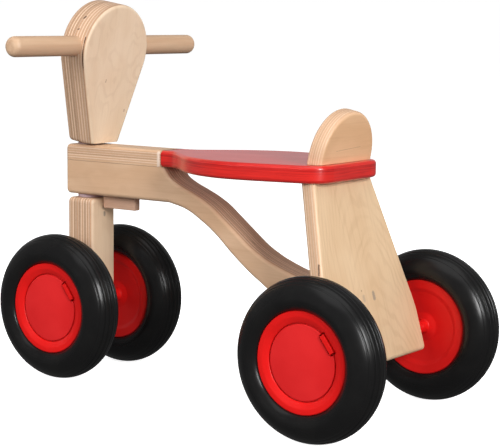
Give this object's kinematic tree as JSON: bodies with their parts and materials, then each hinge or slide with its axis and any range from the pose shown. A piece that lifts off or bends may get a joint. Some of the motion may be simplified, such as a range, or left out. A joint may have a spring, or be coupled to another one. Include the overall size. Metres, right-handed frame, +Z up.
{
  "type": "balance bike",
  "caption": "Wooden four-wheeled ride-on balance bike: steered post with round handlebar, S-shaped spine, red seat with a low backrest, leaning rear board and red wheels with black tyres.",
  "frame": {"origin": "on the ground, on the centre plane, midway between the front and the rear axle", "axes": "+Z up, -Y forward (the bike faces -Y), +X to the rider's left"},
  "size_m": [0.283, 0.5056, 0.3945],
  "materials": {
    "spine_ply": "clear-varnished thick birch plywood, satin",
    "birch_ply": "clear-varnished birch plywood, satin",
    "red_seat_paint": "birch plywood under red paint, satin to gloss",
    "birch_dowel": "turned hardwood bar, clear-varnished",
    "beech": "plain beech, satin",
    "tyre": "black moulded tyre, satin",
    "red_plastic": "moulded red plastic, satin gloss",
    "nylon": "white nylon",
    "steel": "zinc-plated steel"
  },
  "bodies": {
    "frame": {"spine": "spine_ply", "top_strip": "spine_ply", "seat": "red_seat_paint", "rear_board": "birch_ply", "backrest": "birch_ply", "stop_block": "beech", "steering_bush_upper": "nylon", "steering_bush_lower": "nylon", "spine_pin_left": "beech", "spine_pin_right": "beech", "seat_dowel_left": "beech", "seat_dowel_right": "beech", "backrest_dowel_left": "beech", "backrest_dowel_right": "beech", "stop_dowel_front": "beech", "stop_dowel_rear": "beech", "nose_dowel": "beech", "rear_axle": "steel", "push_nut_rear_left": "steel", "push_nut_rear_right": "steel", "spacer_rear_left": "nylon", "spacer_rear_right": "nylon"},
    "fork": {"post": "birch_ply", "head": "birch_ply", "handlebar": "birch_dowel", "steering_rod": "steel", "cross_nut_lower": "steel", "cross_nut_upper": "steel", "front_axle": "steel", "push_nut_front_left": "steel", "push_nut_front_right": "steel", "spacer_front_left": "nylon", "spacer_front_right": "nylon"},
    "wheel_front_left": {"tyre_front_left": "tyre", "hub_front_left": "red_plastic", "cap_front_left": "red_plastic"},
    "wheel_front_right": {"tyre_front_right": "tyre", "hub_front_right": "red_plastic", "cap_front_right": "red_plastic"},
    "wheel_rear_left": {"tyre_rear_left": "tyre", "hub_rear_left": "red_plastic", "cap_rear_left": "red_plastic"},
    "wheel_rear_right": {"tyre_rear_right": "tyre", "hub_rear_right": "red_plastic", "cap_rear_right": "red_plastic"}
  },
  "joints": [
    {"name": "steering", "type": "hinge", "parent": "frame", "child": "fork", "pos_m": [0, -0.1768, 0.19], "axis": [0, 0, 1], "range_deg": [-18, 18]},
    {"name": "spin_front_left", "type": "hinge", "parent": "fork", "child": "wheel_front_left", "pos_m": [0.0522, -0.1768, 0.076], "axis": [1, 0, 0], "continuous": true},
    {"name": "spin_front_right", "type": "hinge", "parent": "fork", "child": "wheel_front_right", "pos_m": [-0.0522, -0.1768, 0.076], "axis": [1, 0, 0], "continuous": true},
    {"name": "spin_rear_left", "type": "hinge", "parent": "frame", "child": "wheel_rear_left", "pos_m": [0.1062, 0.1768, 0.076], "axis": [1, 0, 0], "continuous": true},
    {"name": "spin_rear_right", "type": "hinge", "parent": "frame", "child": "wheel_rear_right", "pos_m": [-0.1062, 0.1768, 0.076], "axis": [1, 0, 0], "continuous": true}
  ]
}
